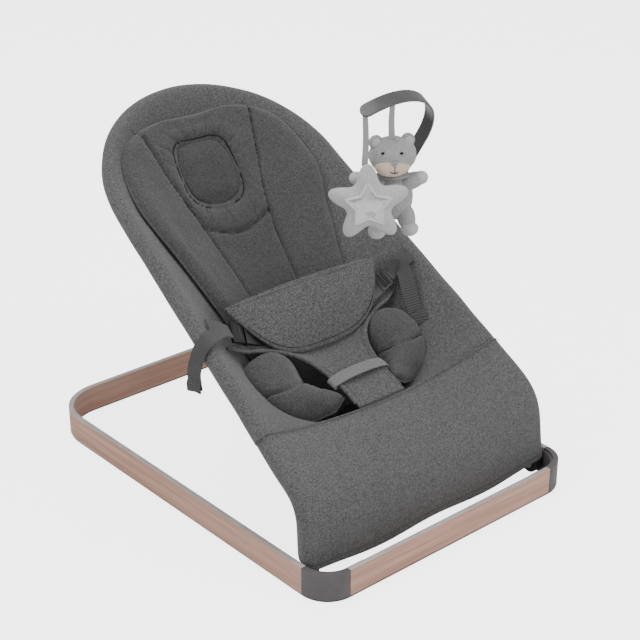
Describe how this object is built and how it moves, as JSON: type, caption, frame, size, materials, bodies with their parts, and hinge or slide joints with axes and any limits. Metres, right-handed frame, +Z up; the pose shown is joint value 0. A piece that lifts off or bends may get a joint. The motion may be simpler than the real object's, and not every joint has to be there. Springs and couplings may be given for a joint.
{
  "type": "baby bouncer seat",
  "caption": "Low bouncer seat: a fabric sling on a bent tube frame that folds in a floor ring, with newborn insert, harness and a toy bar carrying hanging plush toys.",
  "frame": {"origin": "on the floor, in the middle of the base ring", "axes": "+Z up, +Y from the front (foot) end to the rear (head) end, +X to the right of a viewer at the front"},
  "size_m": [0.42, 0.572, 0.5021],
  "materials": {
    "wood": "pale open grain along the band, satin",
    "connector": "satin grey brown",
    "rubber": "matte dark strip",
    "steel": "satin tube and screws",
    "dark_plastic": "dark grey moulded, satin",
    "cover_cloth": "dark heather grey melange weave",
    "insert_cloth": "fine heather grey knit, padded",
    "keeper_cloth": "lighter fine knit",
    "webbing": "ribbed grey webbing",
    "bar_plastic": "smooth grey, flexible strip",
    "ribbon": "pale woven ribbon",
    "plush": "light grey short plush",
    "mirror_foil": "soft mirror foil"
  },
  "bodies": {
    "base": {"front_bar": "wood", "rear_bow": "wood", "grip_front": "rubber", "grip_rear": "rubber", "corner_connector_right": "connector", "corner_connector_left": "connector", "grip_corner_right": "rubber", "grip_corner_left": "rubber", "front_screw_right": "steel", "front_screw_left": "steel", "side_screw_right": "steel", "side_screw_left": "steel", "pivot_washer_right": "steel", "pivot_washer_left": "steel", "pivot_pin_right": "steel", "pivot_pin_left": "steel"},
    "lock_hubs": {"lock_hub_right": "dark_plastic", "lock_hub_left": "dark_plastic"},
    "seat": {"head_hoop": "steel", "head_sleeve": "cover_cloth", "back_sling": "cover_cloth", "front_apron": "cover_cloth", "insert_pad": "insert_cloth", "head_ring": "insert_cloth", "head_pillow": "insert_cloth", "harness_panel": "cover_cloth", "harness_flap": "cover_cloth", "crotch_keeper": "keeper_cloth", "tube_foot_right": "dark_plastic", "tube_foot_left": "dark_plastic", "side_tube_right": "steel", "side_tube_left": "steel", "hoop_spigot_right": "steel", "hoop_spigot_left": "steel", "tube_sleeve_right": "cover_cloth", "tube_sleeve_left": "cover_cloth", "thigh_bolster_right": "insert_cloth", "thigh_bolster_left": "insert_cloth", "buckle_socket_right": "dark_plastic", "buckle_socket_left": "dark_plastic", "buckle_ladder_right": "dark_plastic", "buckle_ladder_left": "dark_plastic", "side_strap_right": "webbing", "side_strap_left": "webbing", "strap_tail_right": "webbing", "strap_tail_left": "webbing"},
    "lower_prong_right": {"lower_prong_right": "dark_plastic"},
    "upper_prong_right": {"upper_prong_right": "dark_plastic"},
    "lower_prong_left": {"lower_prong_left": "dark_plastic"},
    "upper_prong_left": {"upper_prong_left": "dark_plastic"},
    "toy_bar": {"toy_bar": "bar_plastic", "toy_bar_clip": "dark_plastic", "toy_bar_rivet": "steel"},
    "star": {"star_ribbon": "ribbon", "star_plush": "plush", "star_mirror": "mirror_foil"},
    "bear": {"bear_ribbon": "ribbon", "bear_plush": "plush"}
  },
  "joints": [
    {"name": "seat_fold", "type": "hinge", "parent": "base", "child": "lock_hubs", "pos_m": [0, -0.237, 0.019], "axis": [1, 0, 0], "range_deg": [-30, 0]},
    {"name": "seat_bounce", "type": "hinge", "parent": "lock_hubs", "child": "seat", "pos_m": [0, -0.237, 0.019], "axis": [1, 0, 0], "range_deg": [-3, 3], "stiffness_Nm_per_rad": 150, "springref_deg": 1.89},
    {"name": "toy_bar_swivel", "type": "hinge", "parent": "seat", "child": "toy_bar", "pos_m": [0.17443, 0.04732, 0.2859], "axis": [0, 0.8443, 0.5358], "range_deg": [0, 70]},
    {"name": "star_swing", "type": "hinge", "parent": "toy_bar", "child": "star", "pos_m": [0.033, -0.08066, 0.48756], "axis": [1, 0, 0], "range_deg": [-22, 3]},
    {"name": "bear_swing", "type": "hinge", "parent": "toy_bar", "child": "bear", "pos_m": [0.072, -0.08605, 0.49605], "axis": [1, 0, 0], "range_deg": [-3, 25]},
    {"name": "lower_prong_squeeze_right", "type": "hinge", "parent": "seat", "child": "lower_prong_right", "pos_m": [0.11542, -0.02859, 0.21346], "axis": [0.2818, 0.7433, -0.6066], "range_deg": [0, 6], "stiffness_Nm_per_rad": 0.4},
    {"name": "upper_prong_squeeze_right", "type": "hinge", "parent": "seat", "child": "upper_prong_right", "pos_m": [0.10918, -0.01441, 0.22794], "axis": [-0.2818, -0.7433, 0.6066], "range_deg": [0, 6], "stiffness_Nm_per_rad": 0.4},
    {"name": "lower_prong_squeeze_left", "type": "hinge", "parent": "seat", "child": "lower_prong_left", "pos_m": [-0.11542, -0.02859, 0.21346], "axis": [0.2818, -0.7433, 0.6066], "range_deg": [0, 6], "stiffness_Nm_per_rad": 0.4},
    {"name": "upper_prong_squeeze_left", "type": "hinge", "parent": "seat", "child": "upper_prong_left", "pos_m": [-0.10918, -0.01441, 0.22794], "axis": [-0.2818, 0.7433, -0.6066], "range_deg": [0, 6], "stiffness_Nm_per_rad": 0.4}
  ]
}
